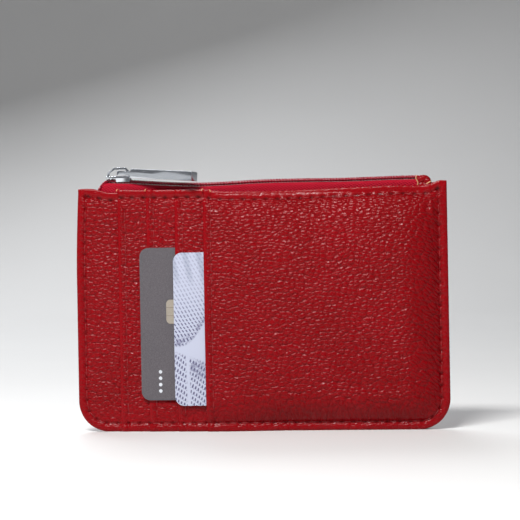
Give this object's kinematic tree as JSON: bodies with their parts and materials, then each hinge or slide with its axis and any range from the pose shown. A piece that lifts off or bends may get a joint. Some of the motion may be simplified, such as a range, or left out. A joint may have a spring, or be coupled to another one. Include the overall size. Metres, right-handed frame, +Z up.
{
  "type": "zip-top card wallet",
  "caption": "Slim leather wallet with a zip compartment along the top, stepped open card slots on its front face, a sliding zip with a bar puller, and cards in the slots.",
  "frame": {"origin": "middle of the bottom edge that the wallet stands on, at the front base panel", "axes": "+X to the right seen from the front, +Y from the front face to the back, +Z up towards the zip"},
  "size_m": [0.132, 0.0138, 0.0942],
  "materials": {
    "red_leather": "pebbled grain, semi-gloss",
    "lining": "plain woven cloth",
    "zip_tape": "twill tape",
    "zip_coil": "nylon coil",
    "zip_metal": "polished",
    "thread": "waxed thread",
    "grey_card": "satin, fine metallic speckle",
    "patterned_card": "satin print",
    "chip_metal": "satin contact plate"
  },
  "bodies": {
    "wallet": {"front_base_panel": "red_leather", "slot_panel_1": "red_leather", "slot_panel_2": "red_leather", "slot_panel_3": "red_leather", "front_panel": "red_leather", "back_panel": "red_leather", "zip_end_tab": "red_leather", "slot_lining_1": "lining", "slot_lining_2": "lining", "slot_lining_3": "lining", "slot_lining_4": "lining", "pocket_lining_front": "lining", "pocket_lining_back": "lining", "zip_tape_front": "zip_tape", "zip_tape_back": "zip_tape", "zip_coil_front": "zip_coil", "zip_coil_back": "zip_coil", "perimeter_stitching": "thread", "mouth_stitching_front": "thread", "mouth_stitching_back": "thread", "slot_stitching_1": "thread", "slot_stitching_2": "thread", "slot_stitching_3": "thread", "slot_stitching_4": "thread", "zip_tab_stitching": "thread"},
    "slider": {"zip_slider": "zip_metal"},
    "puller": {"zip_puller": "zip_metal"},
    "chip_card": {"chip_card": "grey_card", "card_chip": "chip_metal", "card_tactile_dots": "zip_metal"},
    "patterned_card": {"patterned_card": "patterned_card"}
  },
  "joints": [
    {"name": "zip_slide", "type": "slide", "parent": "wallet", "child": "slider", "axis": [1, 0, -0.0017], "range_m": [0, 0.1]},
    {"name": "pull_swing", "type": "hinge", "parent": "slider", "child": "puller", "pos_m": [-0.0501, 0.00267, 0.0922], "axis": [-0.2588, -0.9659, 0], "range_deg": [0, 130]},
    {"name": "chip_card_slide", "type": "slide", "parent": "wallet", "child": "chip_card", "axis": [-1, 0, 0], "range_m": [0, 0.075]},
    {"name": "patterned_card_slide", "type": "slide", "parent": "wallet", "child": "patterned_card", "axis": [-1, 0, 0], "range_m": [0, 0.075]}
  ]
}
